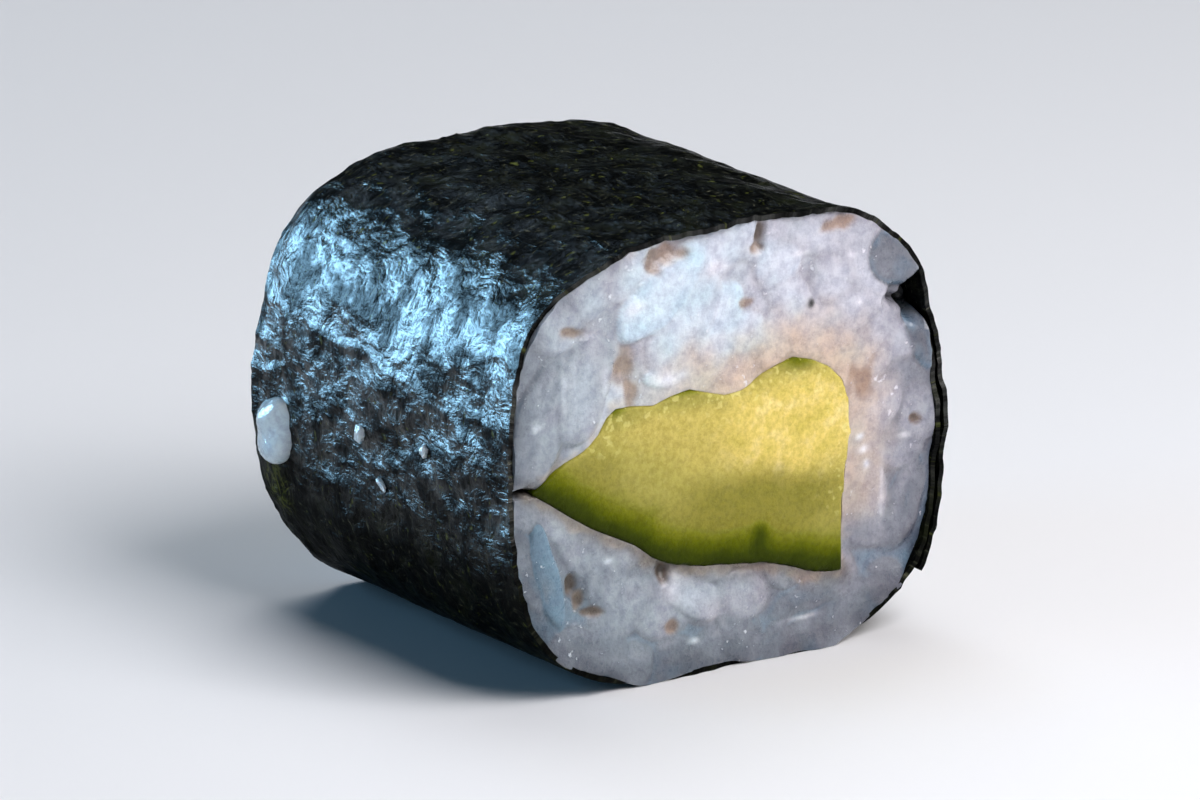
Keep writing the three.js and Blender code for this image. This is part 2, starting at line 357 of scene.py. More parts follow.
# Toasted nori: red algae pulped, sieved into a thin sheet and dried, so it is near black green,
# felted from short fibres that lie every way, with a cool gloss where they lie flat.
def pressedSeaweed():
    material, shader = newMaterial(
        "toastedNori",
        {
            "IOR": 1.5,
            "Specular IOR Level": 0.004,  # the coat carries the gloss
            "Coat Roughness": 0.26,
            "Coat IOR": 1.5,
        },
    )
    sheet = addNode(material, "Attribute", {"attribute_name": "sheet"}).outputs["Vector"]  # mm on the sheet
    bend = addNode(material, "TexNoise", inputs={"Vector": sheet, "Scale": 1 / 2.5, "Detail": 1})
    bent = addNode(  # pulled about over 2.5 mm, so that nothing runs dead straight
        material,
        "VectorMath",
        {"operation": "MULTIPLY_ADD"},
        {0: bend.outputs["Color"], 1: (1.4, 1.4, 0), 2: sheet},
    ).outputs["Vector"]
    fibres = []
    # Fibres 0.3 mm wide and 0.8 mm long, both ways. Real ones are finer than the render can show.
    for stretch in ((3.7, 1.2, 1), (1.4, 3.3, 1)):
        scaled = addNode(material, "VectorMath", {"operation": "MULTIPLY"}, {0: bent, 1: stretch})
        pattern = {"Vector": scaled.outputs["Vector"], "Scale": 1, "Detail": 4, "Roughness": 0.6}
        fibres.append(addNode(material, "TexNoise", inputs=pattern).outputs["Fac"])
    felt = addNode(material, "Math", {"operation": "MAXIMUM"}, {0: fibres[0], 1: fibres[1]}).outputs[0]
    patches = addNode(  # thicker and thinner parts of the sheet, 2 mm across
        material, "TexNoise", inputs={"Vector": bent, "Scale": 1 / 2, "Detail": 4, "Roughness": 0.55}
    ).outputs["Fac"]
    seaweedBits = addNode(  # half a mm across
        material, "TexNoise", inputs={"Vector": bent, "Scale": 1.9, "Detail": 2, "Roughness": 0.5}
    ).outputs["Fac"]
    fibreColours = [(0.45, "#020202"), (0.57, "#070806"), (0.64, "#20221a"), (0.73, "#5c5c4a")]
    colour = addNode(material, "ValToRGB", inputs={"Fac": felt}, stops=fibreColours).outputs["Color"]
    thinSpot = addNode(material, "Attribute", {"attribute_name": "thin"}).outputs["Fac"]
    for blend, amount, value, stops in (
        ("MIX", 0.35, patches, [(0.5, "#030403"), (0.78, "#282e10")]),
        ("LIGHTEN", 1, seaweedBits, [(0.64, "#000000"), (0.8, "#565c2c")]),
        ("LIGHTEN", thinSpot, felt, [(0.5, "#0c0f03"), (0.64, "#4c5210")]),
    ):
        layer = addNode(material, "ValToRGB", inputs={"Fac": value}, stops=stops).outputs["Color"]
        colour = addNode(
            material, "Mix", {"data_type": "RGBA", "blend_type": blend}, {0: amount, 6: colour, 7: layer}
        ).outputs[2]
    feed(material, colour, shader.inputs["Base Color"])
    place = addNode(material, "TexCoord").outputs["Object"]
    height = addNode(material, "SeparateXYZ", inputs={"Vector": place}).outputs["Z"]
    gloss = 1
    for value, low, high, least in (  # glossy in patches and on fibres, duller low down, where it is damp
        (patches, 0.42, 0.56, 0.2),
        (felt, 0.44, 0.56, 0.3),
        (height, 6 * mm, 11.5 * mm, 0.06),
    ):
        share = addNode(
            material, "MapRange", inputs={"Value": value, "From Min": low, "From Max": high, "To Min": least}
        ).outputs["Result"]
        gloss = addNode(material, "Math", {"operation": "MULTIPLY"}, {0: share, 1: gloss}).outputs[0]
    rough = addNode(material, "MapRange", inputs={"Value": gloss, "To Min": 0.42, "To Max": 0.24})
    feed(material, rough.outputs["Result"], shader.inputs["Roughness"])
    coat = addNode(material, "Math", {"operation": "MULTIPLY_ADD"}, {0: gloss, 1: 0.85, 2: 0.04}).outputs[0]
    feed(material, coat, shader.inputs["Coat Weight"])
    relief = addNode(material, "Math", {"operation": "MULTIPLY_ADD"}, {0: felt, 1: 0.35, 2: patches})
    bump = addNode(
        material, "Bump", inputs={"Height": relief.outputs[0], "Strength": 1, "Distance": 0.3 * mm}
    )
    for normal in ("Normal", "Coat Normal"):
        feed(material, bump.outputs["Normal"], shader.inputs[normal])
    return material


noriSheet = buildNori()
noriSheet.data.materials.append(pressedSeaweed())
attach(noriSheet, "root")
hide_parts("nori")
print("nori has", len(noriSheet.data.polygons), "faces")

cucumber = {
    "skin": [  # the curved side of the wedge, from its thin edge
        (-12.1, -0.3), (-11, -1), (-9.8, -1.85), (-8.4, -2.75), (-7, -3.45), (-5.7, -4.1),
        (-4.6, -4.95), (-3.5, -5.5), (-1.5, -5.95), (0.5, -6.2), (2.6, -6.5), (4.1, -6.95),
        (5.2, -7.4), (6.3, -7.65), (7.3, -7.7),
    ],
    "cutSides": [
        (7.3, -5.3), (7.45, -3), (7.8, -0.5), (7.75, 1.2), (7.3, 2.5), (6.5, 3.3), (5.4, 3.85),
        (4.3, 4.15), (3.2, 3.95), (2.1, 3.5), (1, 3), (-0.1, 2.9), (-1.2, 3.2), (-2.3, 3.55),
        (-3.4, 3.4), (-4.6, 3.1), (-5.7, 3.25), (-6.9, 3.3), (-7.5, 2.9), (-8, 2.1), (-8.8, 1.4),
        (-10.1, 0.95), (-11.2, 0.25),
    ],
    "proud": 0.1,  # the wedge stands this far out of the rice at both faces
    "voxel": 0.19,
    "softenings": 3,
    "seedCentre": (4.3, 0.7),  # middle of the soft, seedy part
    "seedReach": (4.5, 2.6),
    "seedEdge": (0.55, 1.35),  # it fades out between these shares of its reach
    "olives": [(2.2, -3.2, 6.8, 2.5, 0.9), (-8.4, 0, 2.2, 1.5, 0.54)],  # greener: middle, half size, share
    "oliveEdge": (0.45, 1.15),
    "bruise": (2.1, -4.7, 0.55, 0.75),  # where the green runs deeper: middle and half size
    "bruiseDepth": 0.9,
    # middle and half size of the painted shadow on the top cut, where rice hangs over it: a darker green rim
    "paintedShadowRims": [(4.5, 4.25, 1.4, 0.75), (-2.6, 3.6, 2, 0.4), (-7, 3.3, 1, 0.5)],
    "shadowRimGreen": (0.8, 1.6),  # a rim is as green as this far under the skin, and how fast that fades
    "shadowRimEdge": (0.7, 1.6),
    "wander": [(1.7, 0.14, 11), (0.7, 0.07, 15)],  # size, height, seed of what bends the borders
    "greenWander": 1.5,  # times as much where the flesh turns green
    "relief": [(1.1, 0.05, 12), (0.5, 0.025, 13), (3.5, 0.1, 14)],  # of the wet faces
    "seedSwell": 0.12,
    "faceDepth": 0.3,  # the relief fades out this far inside a face
    "glintReach": 1.6,  # painted glints lie this close to the cut sides
    "glintFrom": (2.5, 4),  # and this far from the skin
}
skinLine = np.array(cucumber["skin"])
cutLine = np.array(cucumber["cutSides"])
wedgeOutline = np.concatenate([skinLine, cutLine])


def distanceToLine(points, line):  # from each (x, z) to an open run of straight lines
    best = np.full(points.shape[:-1], np.inf)
    for start, stop in zip(line[:-1], line[1:]):
        run = stop - start
        share = np.clip((points - start) @ run / (run @ run), 0, 1)[..., None]
        best = np.minimum(best, np.linalg.norm(points - start - share * run, axis=-1))
    return best


def drawnOut(name, outline, halfLength):  # a closed prism along the roll
    count = len(outline)
    front = np.insert(outline, 1, -halfLength, axis=1)
    back = np.insert(outline, 1, halfLength, axis=1)
    sides = [(i, (i + 1) % count, count + (i + 1) % count, count + i) for i in range(count)]
    caps = [tuple(reversed(range(count))), tuple(range(count, 2 * count))]
    piece = makePiece(name, np.concatenate([front, back]), sides + caps)
    faceOutwards(piece)
    return piece


def buildCucumber():
    piece = drawnOut("cucumberWedge", wedgeOutline, faceAt + cucumber["proud"])
    remesh = piece.modifiers.new("remesh", "REMESH")
    remesh.mode = "VOXEL"
    remesh.voxel_size = cucumber["voxel"] * mm
    soften = piece.modifiers.new("soften", "SMOOTH")
    soften.iterations = cucumber["softenings"]
    graph = bpy.context.evaluated_depsgraph_get()
    finished = bpy.data.meshes.new_from_object(piece.evaluated_get(graph))
    piece.modifiers.clear()
    piece.data = finished
    piece.data.shade_smooth()

    points = pointsOf(piece)
    section = points[:, [0, 2]]
    wander = layered(points, cucumber["wander"])
    greenWander = cucumber["greenWander"] * wander
    fromSeeds = np.linalg.norm((section - cucumber["seedCentre"]) / cucumber["seedReach"], axis=1)
    seedy = 1 - smoothStep(fromSeeds + wander, *cucumber["seedEdge"])
    olive = 0
    for x, z, reachX, reachZ, share in cucumber["olives"]:
        away = np.linalg.norm((section - [x, z]) / [reachX, reachZ], axis=1)
        olive = np.maximum(olive, share * (1 - smoothStep(away - greenWander, *cucumber["oliveEdge"])))
    fromSkin = distanceToLine(section, skinLine)
    # Painted glints: where the flesh lies near a cut side and away from the skin.
    paintedGlint = np.exp(-((distanceToLine(section, cutLine) / cucumber["glintReach"]) ** 2))
    paintedGlint = paintedGlint * smoothStep(fromSkin, *cucumber["glintFrom"])
    # Painted shadow along the top cut: the flesh is drawn as green as flesh nearer the skin, and not seedy.
    rimDepth, rimFade = cucumber["shadowRimGreen"]
    for rim in cucumber["paintedShadowRims"]:
        fromRim = np.linalg.norm((section - rim[:2]) / rim[2:], axis=1)
        fromSkin = np.minimum(fromSkin, rimDepth + rimFade * fromRim)
        seedy = seedy * smoothStep(fromRim, *cucumber["shadowRimEdge"])
    bruise = cucumber["bruise"]
    bruised = np.exp(-(np.linalg.norm((section - bruise[:2]) / bruise[2:], axis=1) ** 2))
    onFace = smoothStep(np.abs(points[:, 1]), faceAt - cucumber["faceDepth"], faceAt)
    relief = layered(points, cucumber["relief"]) + cucumber["seedSwell"] * seedy
    points[:, 1] += np.sign(points[:, 1]) * onFace * relief
    movePoints(piece, points)
    keepValues(piece, "fromSkin", fromSkin - cucumber["bruiseDepth"] * bruised + greenWander)
    keepValues(piece, "seedy", seedy)
    keepValues(piece, "olive", olive)
    keepValues(piece, "paintedGlint", paintedGlint)
    return piece


# Raw cucumber, cut with a wet knife: dark green rind, green just under it, paler and yellower
# watery flesh, and soft yellow round the seeds. The cut cells leave a fine wet glitter, and
# glints are painted on near the cut sides.
def cutCucumber():
    material, shader = newMaterial(
        "rawCucumber",
        {
            "IOR": 1.36,
            "Specular IOR Level": 0.1,
            "Subsurface Weight": 0.25,
            "Subsurface Radius": (1.0, 0.9, 0.35),
            "Subsurface Scale": 0.5 * mm,
            "Coat Roughness": 0.1,
            "Coat IOR": 1.33,
        },
    )
    place = addNode(material, "TexCoord").outputs["Object"]
    read = {
        name: addNode(material, "Attribute", {"attribute_name": name}).outputs["Fac"]
        for name in ("fromSkin", "seedy", "olive", "paintedGlint")
    }
    share = addNode(material, "MapRange", inputs={"Value": read["fromSkin"], "From Min": 0, "From Max": 8})
    fleshColours = [
        (0, "#283200"), (0.075, "#374200"), (0.15, "#5c6300"), (0.2, "#757712"), (0.26, "#8d8a35"),
        (0.34, "#a39b49"), (0.5, "#ada34f"), (0.7, "#c1b15b"), (0.95, "#ccba60"),
    ]
    flesh = addNode(material, "ValToRGB", inputs={"Fac": share.outputs["Result"]}, stops=fleshColours)
    for name, size, detail, rough in (  # sizes in mm
        ("mottle", 1.3, 3, 0.5),
        ("cells", 0.3, 4, 0.7),  # real ones are finer than the render can show
        ("glintDots", 0.38, 1, 0.5),
    ):
        pattern = {"Vector": place, "Scale": 1 / (size * mm), "Detail": detail, "Roughness": rough}
        read[name] = addNode(material, "TexNoise", inputs=pattern).outputs["Fac"]
    cells = read["cells"]
    seedColours = [(0.34, "#d3bf5c"), (0.52, "#e4cd70"), (0.66, "#f0db90")]
    seeds = addNode(material, "ValToRGB", inputs={"Fac": read["mottle"]}, stops=seedColours)
    speckles = [(0.36, "#c0bf94"), (0.6, "#ffffff")]
    speckled = addNode(material, "ValToRGB", inputs={"Fac": cells}, stops=speckles).outputs["Color"]
    # Dots of painted glint, only where the flesh is near a cut side.
    glintDots = addNode(
        material, "MapRange", inputs={"Value": read["glintDots"], "From Min": 0.6, "From Max": 0.68}
    ).outputs["Result"]
    glintDots = addNode(material, "Math", {"operation": "MULTIPLY"}, {0: glintDots, 1: read["paintedGlint"]}).outputs[0]
    colour = flesh.outputs["Color"]
    for blend, amount, layer in (
        ("DARKEN", read["olive"], linear("#868028")),
        ("MIX", read["seedy"], seeds.outputs["Color"]),
        ("MULTIPLY", 0.5, speckled),
        # painted glints, lightening the flesh
        ("SCREEN", glintDots, linear("#8c8450")),
    ):
        colour = addNode(
            material, "Mix", {"data_type": "RGBA", "blend_type": blend}, {0: amount, 6: colour, 7: layer}
        ).outputs[2]
    feed(material, colour, shader.inputs["Base Color"])
    rough = addNode(material, "MapRange", inputs={"Value": cells, "To Min": 0.5, "To Max": 0.25})
    feed(material, rough.outputs["Result"], shader.inputs["Roughness"])
    limits = {"From Min": 1, "From Max": 2.5, "To Max": 0.6}
    wet = addNode(material, "MapRange", inputs={"Value": read["fromSkin"], **limits})
    feed(material, wet.outputs["Result"], shader.inputs["Coat Weight"])
    for distance, normal in ((0.06, "Normal"), (0.2, "Coat Normal")):  # the water on it glitters more
        bump = addNode(material, "Bump", inputs={"Height": cells, "Strength": 1, "Distance": distance * mm})
        feed(material, bump.outputs["Normal"], shader.inputs[normal])
    return material


cucumberWedge = buildCucumber()
cucumberWedge.data.materials.append(cutCucumber())
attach(cucumberWedge, "root")
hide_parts("cucumber")
print("cucumber has", len(cucumberWedge.data.polygons), "faces")

rice = {
    "grainLength": 5.7,
    "grainWidth": 2.8,
    "sizeVaries": 0.14,
    "rimGrains": 27,
    "rimDepth": 1.2,  # how far the middles of the grains along the rim lie inside the rim
    "rimShift": 0.2,  # radians that their row moves round, at most
    "rimJitter": 0.04,
    "rimTurn": 22,  # degrees that they turn out of the rim's direction
    "rimClear": 0.6,  # the other grains stay this much further in
    "gridReach": (5, 6),  # rows and columns of the other grains, each way from the middle
    "pitch": 2.2,
    "closest": 1.75,
    "jitter": 0.45,
    "markedClear": 1.05,  # other grains stay out of this share of a marked one
    "bend": 0.3,  # how far noise pushes a grain's outline about
    "bendSize": 1.9,
    "lengthShows": (0.82, 1),  # how much of its length a grain shows
    "endOnShows": (0.5, 0.62),  # and one that points along the roll
    "endOnShare": 0.35,  # share of the grains that do
    "standsVary": 0.04,  # how unevenly the knife left the grains
    "tiltVary": 0.04,
    "streaks": 0.12,  # how much glassier a grain gets in streaks along it
    "streakSize": 0.5,
    "streakStretch": 3,
    "dome": 0.2,  # height of a grain's crown over its edge
    "flatness": 2,  # more makes flatter crowns with steeper edges
    "skirt": 1.2,  # how steeply a grain falls away outside its edge
    "steepSkirt": 4,  # and where it stands out by more than standsOut
    "standsOut": 0.1,
    "floor": -0.15,  # the paste between the grains lies this deep
    "stick": 0.035,  # how softly grains run into each other
    "seamWidth": 0.16,
    "gapDepths": (0.05, 0.25),  # a hollow starts to take painted shade between these
    "cutLimit": 0.2,  # nothing but the relief and the overhang stands out further than this
    "relief": [(1.1, 0.035, 21), (0.5, 0.03, 22)],  # size, height, seed
    # Away from the whitest place the rice grows glassier and darker, which is partly painted shade.
    "whitestAt": (-0.5, 7.5),  # the rice is whitest here, and grows glassy away from it
    "glassyLeast": 0.08,
    "glassyAndShadePerMm": 0.04,
    "glassyVaries": 0.09,
    "glassyMost": 0.9,
    "pasteGlassy": 0.25,  # of the paste between the grains, at the whitest place
    "chalkBelow": 0.8,  # grains that are less glassy than this have a chalky heart
    "pitBrown": 0.85,
    "wander": 0.7,  # how far noise bends the pits and spots, as a share of their size
    "wanderSize": 0.8,
    "skinShadow": (0.65, 0.35, 0.5),  # painted shadow by the cucumber's skin: how far, how brown, how dark
    # where the rice has a warm tint: from and to in x, the same in z, and how strong it is
    "warmParts": [((-9, 0), (-1, 3), 0.85), ((6.5, 7.5), (-6, -4), 0.68)],
    "warmReach": (0.4, 3.8),  # it fades out between these distances from the cucumber
    "warmEdge": (0.5, 0.6),  # how warm the rice is all along the cucumber, and how far
    # Cool towards the left and low down, which is partly painted cool light from the left.
    "rosyPerMm": (0.06, 0.02),  # how it turns from cool to rosy, in x and in z
    "rosyPatches": [(1.5, 0.7, 30)],
    "rimShade": (0.3, 0.2),  # how dark the rim is at the sides, and how much more low down
    "rimShadeReach": 1.3,
    "shadePatches": [(1.8, 0.8, 31)],
    "sideGap": 0.03,  # between the rice and the nori round it, at the faces
    "wallGap": 0.14,  # and between them
    "overhang": 0.5,  # how far the lower rim swells out over the nori's edge
    "overhangReach": 1.3,
    "overhangRise": 0.22,
    "overhangPatches": [(2.4, 1.1, 23)],
    # how the rim turns in to the nori: behind the face, past the nori's end, share of the overhang
    "turnIn": {"behind": 0.03, "past": 0.05, "overhang": 0.8, "swell": 0.04, "foot": 0.06},
    "columns": 520,  # points of the mesh round a cut face, and from the nori in to the cucumber
    "rings": 64,
    "wallRows": 18,
    "boreRows": 3,
    "sharpAngle": math.radians(60),
    # painted light: how far the stray bits are drawn towards pale starch
    "strayPaintedLight": 0.7,
    "seed": 4207,
}
columnAngles = np.arange(rice["columns"]) * 2 * math.pi / rice["columns"]
# Grains that stand out from the rest on the front cut face: where, which way they point in
# degrees from +X, how long and wide they are, how far they stand out, and how glassy they are.
markedGrains = [
    {"at": (x, z), "points": points, "size": (length, width), "stands": stands, "glassy": glassy}
    for x, z, points, length, width, stands, glassy in (
        (-11.4, 3.2, 76, 6.6, 3.2, 0.13, 0.72),
        (-8.8, 4.5, 72, 5.6, 3.2, 0.18, 0.58),
        (-11.0, -4.8, -73, 6.2, 1.3, 0.14, 1),
        (-12.3, -4.2, -66, 5.6, 2.0, 0.06, 0.86),
        (-4.0, 8.8, 38, 6.2, 2.8, 0.24, -0.05),
        (-2.6, 7.0, 48, 6.4, 3.0, 0.06, 0.15),
        (-3.9, 4.4, -8, 2.6, 1.2, 0.06, 0),
        (10.7, 8.4, -35, 3.8, 2.7, 0.16, 0.88),
        (12.4, 3.9, -72, 3.6, 1.9, 0.06, 0.92),
        (-2.2, -7.4, -38, 4.6, 2.2, 0.08, 0.5),
        (0.8, -8.0, -8, 3.8, 2.4, 0.03, 0.64),
        (1.2, -10.5, 4, 3.4, 1.5, 0.02, 0.85),
        (5.4, -8.6, 14, 5.6, 2.0, 0.02, 0.86),
        (11.2, -4.8, 64, 5.4, 2.6, 0.02, 0.82),
    )
]
# Bits of rice outside the faces: where round the roll in degrees and along it in mm, which way
# they point in degrees from along the roll, their size, and how far out of the nori they lie.
strayRice = [
    {"angle": 188.2, "y": 9.6, "points": 84, "size": (3.5, 3.0), "out": -0.6},
    {"angle": 180.2, "y": 1.7, "points": 70, "size": (0.9, 0.6), "out": 0.05},
    {"angle": 178.2, "y": -4.1, "points": 100, "size": (0.7, 0.45), "out": 0.1},
    {"angle": 189.8, "y": -0.2, "points": 140, "size": (0.9, 0.32), "out": 0.05},
]
# Hollows in the front face: where, half their size, how deep, and how far their colour goes from the
# brown of a crack between glassy grains to black: painted shade in the slit and the deeper hollows,
# and the nori's own black in the crumb of nori.
pits = [
    (-6.4, 5.3, 0.75, 0.9, 0.12, 0),
    (-6.0, 4.1, 0.5, 0.8, 0.12, 0),
    (-3.9, 10.9, 1.5, 0.6, 0.3, 0),
    (-4.4, 10.3, 0.5, 0.6, 0.2, 0.15),
    (-9.6, 7.6, 0.7, 0.3, 0.15, 0.1),
    (2.1, 11.0, 0.3, 0.8, 0.5, 0.6),
    (1.9, 10.2, 0.45, 0.3, 0.3, 0),
    (7.2, 10.7, 1.3, 0.35, 0.2, 0),
    (-9.5, -5.6, 0.3, 0.55, 0.35, 0.7),
    (-9.1, -6.4, 0.35, 0.5, 0.25, 0.6),
    (-8.3, -7.1, 0.6, 0.25, 0.2, 0.6),
    (-3.85, -5.75, 0.35, 0.55, 0.4, 0.8),
    (-3.4, -8.9, 0.45, 0.45, 0.15, 0.1),
    # painted black at its bottom, for shade in the hollow
    (12.2, 6.0, 1.3, 1.0, 2.2, 1),  # the big one at the upper right
    (12.0, -0.4, 0.35, 0.25, 0.15, 0.6),
    (8.6, 2.2, 0.8, 1.1, 0.08, 0),
    (1.3, 7.5, 0.5, 0.3, 0.05, 0),
    (5.3, 6.8, 0.22, 0.26, -0.06, 1),  # a crumb of nori, which stands out
    # painted black, for shade in the slit
    (-12.8, -0.2, 1.3, 0.17, 1.0, 1),  # slit from the skin to the nori
]
# Spots and streaks of dry starch on the front face, some of them painted glints, and spots of painted
# shade, some over glassy rice that shows the dark behind it: where, half their size, and how strong
# they are.
starchAndGlintSpots = [
    (-5.7, 8.2, 0.7, 0.5, 0.9), (-3.6, 4.3, 0.9, 0.35, 0.9), (-3.2, -6.8, 0.35, 0.8, 0.5),
    (-2, -9.8, 0.3, 0.18, 0.8), (-7.3, -4.6, 0.35, 0.15, 0.7), (-10.1, 4.6, 0.15, 1.3, 0.5),
    (-7.6, 4.6, 0.2, 1.3, 0.5), (-11.8, 3.1, 0.3, 0.25, 0.5),
    (5, -9.8, 0.8, 0.12, 0.6), (7.8, 9, 0.25, 0.2, 0.8), (8.3, 6.4, 0.2, 0.2, 0.8),
    (8.4, -0.8, 0.25, 0.2, 0.8), (8.7, -1.5, 0.3, 0.2, 0.8), (8.8, -2.3, 0.25, 0.2, 0.8),
    (9.8, -4, 0.18, 1.4, 0.4), (11.2, -1.2, 0.45, 0.15, 0.6), (-0.5, 9.6, 0.9, 0.3, 0.7),
    (4.6, 9.6, 0.5, 0.2, 0.8),
]
# Spots of painted shade, darkest low on the rim, some over glassy grains.
shadeAndGlassySpots = [
    (12.4, 3.9, 0.7, 1.2, 0.6), (-6.8, -10.3, 0.9, 0.6, 0.35), (1, -10.5, 1.2, 0.45, 0.25),
    (-11.2, -7.9, 0.5, 1, 0.75), (12.2, -6.9, 1, 1.8, 0.75), (6, -10.7, 1.4, 0.4, 0.6),
    (-13, -3, 0.4, 1.2, 0.3), (-7.5, -5.2, 0.9, 0.6, 0.2), (10.3, 9, 0.3, 0.25, 0.5),
    (-10.4, 1.6, 0.2, 1.2, 0.3), (8.4, -4, 0.7, 1.6, 0.18), (-8.6, 8.6, 1, 0.5, 0.15),
    (-12.1, 1, 0.7, 0.7, 0.2), (-7, 8, 0.4, 0.6, 0.2), (4, 10.4, 0.9, 0.4, 0.18),
    (5.4, -9.2, 2, 1, 0.25),
]


# Glassier and darker away from the whitest place: partly glassy rice, partly painted shade.
def glassyAndShadeAt(place):
    return rice["glassyLeast"] + rice["glassyAndShadePerMm"] * math.dist(place, rice["whitestAt"])


def layGrains(random, marked):  # the marked grains, a row along the rim, and a loose grid inside it
    onRim = rice["rimGrains"]
    rim = np.arange(onRim) * 2 * math.pi / onRim + random.uniform(0, rice["rimShift"])
    rim = rim + random.uniform(-rice["rimJitter"], rice["rimJitter"], onRim)
    candidates = [(x, z) for x, _, z in wrapPlace(rim, rice["rimDepth"], 0)]
    rowPitch = rice["pitch"] * math.sqrt(3) / 2
    rowReach, columnReach = rice["gridReach"]
    for row in range(-rowReach, rowReach + 1):
        for column in range(-columnReach, columnReach + 1):
            x = (column + 0.5 * (row % 2)) * rice["pitch"] + random.uniform(-1, 1) * rice["jitter"]
            z = row * rowPitch + random.uniform(-1, 1) * rice["jitter"]
            candidates.append((x, z))
    grains = list(marked)
    for i, (x, z) in enumerate(candidates):
        endOn = random.random() < rice["endOnShare"]
        stretch = random.uniform(*rice["endOnShows" if endOn else "lengthShows"])
        length, width = (
            size * (1 + rice["sizeVaries"] * random.uniform(-1, 1))
            for size in (rice["grainLength"] * stretch, rice["grainWidth"])
        )
        around = math.degrees(math.atan2(z, x)) + 90 + random.normal(0, rice["rimTurn"])
        points = around if i < onRim else random.uniform(0, 180)
        stands = random.uniform(-1, 0.6) * rice["standsVary"]
        glassy = glassyAndShadeAt((x, z)) + random.uniform(-1, 1) * rice["glassyVaries"]
        grain = {
            "at": (x, z),
            "points": points,
            "size": (length, width),
            "stands": stands,
            "glassy": min(rice["glassyMost"], glassy),
        }
        inside = float(wrapRadius(math.atan2(z, x))) - rice["rimDepth"] - rice["rimClear"]
        crowded = any(math.dist((x, z), other["at"]) < rice["closest"] for other in grains[len(marked) :])
        covered = any(insideGrain((x, z), other, rice["markedClear"]) for other in marked)
        if not covered and (i < onRim or (not crowded and math.hypot(x, z) < inside)):
            grains.append(grain)
    return grains


def grainLocal(x, z, grain):  # along and across a grain, 1 being its edge
    turn = math.radians(grain["points"])
    dx, dz = x - grain["at"][0], z - grain["at"][1]
    along = (dx * math.cos(turn) + dz * math.sin(turn)) / (grain["size"][0] / 2)
    across = (dz * math.cos(turn) - dx * math.sin(turn)) / (grain["size"][1] / 2)
    return along, across


def insideGrain(place, grain, grow):
    along, across = grainLocal(*place, grain)
    return math.hypot(along, across) < grow


def grainField(x, z, grains, random):  # height of the face, and what the material needs to know
    weights = np.full(x.shape, math.exp(rice["floor"] / rice["stick"]))
    best = np.full(x.shape, rice["floor"])
    second = best - 1
    whitestX, whitestZ = rice["whitestAt"]
    glassy = weights * (rice["pasteGlassy"] + rice["glassyAndShadePerMm"] * np.hypot(x - whitestX, z - whitestZ))
    chalk = 0 * weights
    for i, grain in enumerate(grains):
        along, across = grainLocal(x, z, grain)
        q = along**2 + across**2
        near = q < 2
        streak = smoothStep(q, 0.5, 1.1)  # glassier towards its edge, and in streaks
        spotX = along[near] * grain["size"][0] / 2 / rice["streakStretch"]
        spot = np.stack([spotX, across[near] * grain["size"][1] / 2], axis=-1)
        streak[near] += lumps(np.insert(spot, 2, i, axis=1), rice["streakSize"], 28)
        skirt = rice["steepSkirt"] if grain["stands"] > rice["standsOut"] else rice["skirt"]
        crown = 1 - np.sqrt(np.clip(1 - q ** rice["flatness"], 0, 1)) + skirt * np.maximum(q - 1, 0)
        tilt = rice["tiltVary"] * (random.uniform(-1, 1) * along + random.uniform(-1, 1) * across)
        height = grain["stands"] + tilt - rice["dome"] * crown
        weight = np.exp(np.clip(height / rice["stick"], -60, 60))
        weights += weight
        glassy += weight * (grain["glassy"] + rice["streaks"] * streak)
        heart = smoothStep(1 - np.sqrt(np.minimum(q, 1)), 0.1, 0.8)
        chalk += weight * heart * max(0, rice["chalkBelow"] - grain["glassy"])
        second = np.maximum(second, np.minimum(best, height))
        best = np.maximum(best, height)
    seam = 1 - smoothStep(best - second, 0, rice["seamWidth"])
    return rice["stick"] * np.log(weights), seam, glassy / weights, chalk / weights


def rayToWedge(start, towardsAngle):  # how far from start the wedge's outline lies in that direction
    direction = np.stack([np.cos(towardsAngle), np.sin(towardsAngle)], axis=-1)
    reach = np.zeros(len(towardsAngle))
    for corner, following in zip(wedgeOutline, np.roll(wedgeOutline, -1, axis=0)):
        side = following - corner
        cross = direction[:, 0] * side[1] - direction[:, 1] * side[0]
        offset = corner - start
        along = (offset[0] * side[1] - offset[1] * side[0]) / cross
        share = (offset[0] * direction[:, 1] - offset[1] * direction[:, 0]) / cross
        hit = (along > 0) & (share >= 0) & (share <= 1)
        reach = np.where(hit, np.maximum(reach, along), reach)
    return reach


def spotted(x, z, wander, spots):  # how much of each point the spots cover
    share = 0 * x
    for spotX, spotZ, reachX, reachZ, most in spots:
        offX, offZ = (x - spotX) / reachX + wander[0], (z - spotZ) / reachZ + wander[1]
        share = np.maximum(share, most * np.exp(-(offX**2) - offZ**2))
    return share


